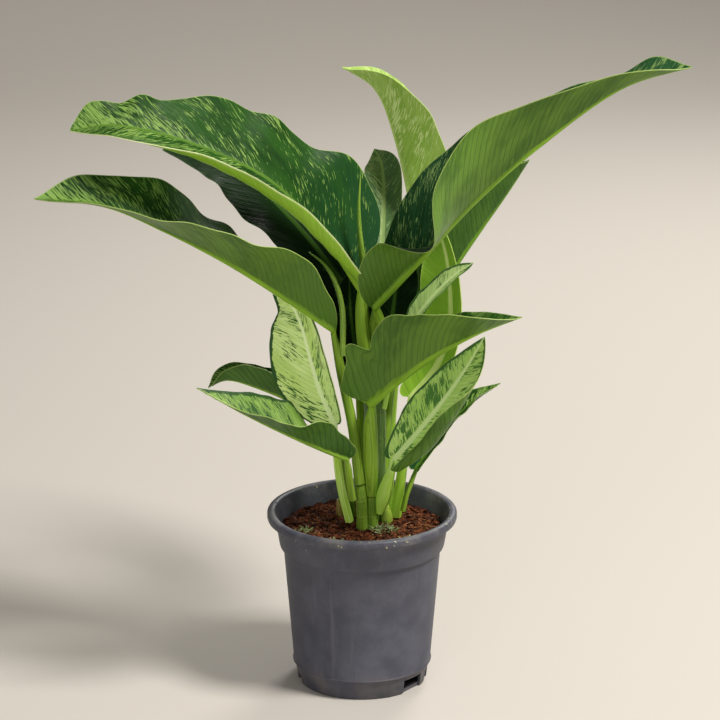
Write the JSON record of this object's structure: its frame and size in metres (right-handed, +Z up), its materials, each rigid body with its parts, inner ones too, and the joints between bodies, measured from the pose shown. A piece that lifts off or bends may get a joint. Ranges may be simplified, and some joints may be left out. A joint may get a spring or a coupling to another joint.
{
  "type": "potted dieffenbachia",
  "caption": "Dieffenbachia with folded, speckled leaves on fleshy stalks, growing in a round plastic nursery pot filled with peat and coir.",
  "frame": {"origin": "centre of the underside of the pot, on the surface it stands on", "axes": "+Z up along the axis of the pot; -Y towards the front of the plant, where most of the leaf folds open; +X to the right seen from the front"},
  "size_m": [0.3864, 0.1976, 0.4121],
  "materials": {
    "leaf_dark": "dark green leaf with pale speckles, satin",
    "leaf_bright": "bright yellow-green leaf, satin",
    "leaf_pale": "pale green leaf with darker margins, satin",
    "stem": "smooth yellow-green stem and rolled leaf",
    "dry_sheath": "papery yellow sheath",
    "potting_soil": "rough brown peat and coir",
    "pot_plastic": "satin grey plastic"
  },
  "bodies": {
    "root": {"leaf_back_crown": "leaf_pale", "leaf_front_right": "leaf_dark", "leaf_inner_left": "leaf_dark", "leaf_inner_right": "leaf_dark", "leaf_lower_left": "leaf_pale", "leaf_lower_left_back": "leaf_dark", "leaf_lower_right": "leaf_pale", "leaf_lower_right_back": "leaf_dark", "leaf_mid_left": "leaf_dark", "leaf_right_behind": "leaf_dark", "leaf_right_upright": "leaf_bright", "leaf_shaded_left": "leaf_dark", "leaf_small_right": "leaf_pale", "leaf_tall_back": "leaf_bright", "leaf_upper_left": "leaf_dark", "leaf_upper_right": "leaf_dark", "leaf_variegated_left": "leaf_pale", "old_sheath": "dry_sheath", "pot": "pot_plastic", "rolled_leaf_centre": "stem", "rolled_leaf_left": "stem", "side_shoot": "stem", "soil": "potting_soil", "stem_back": "stem", "stem_centre": "stem", "stem_front": "stem"}
  },
  "joints": []
}
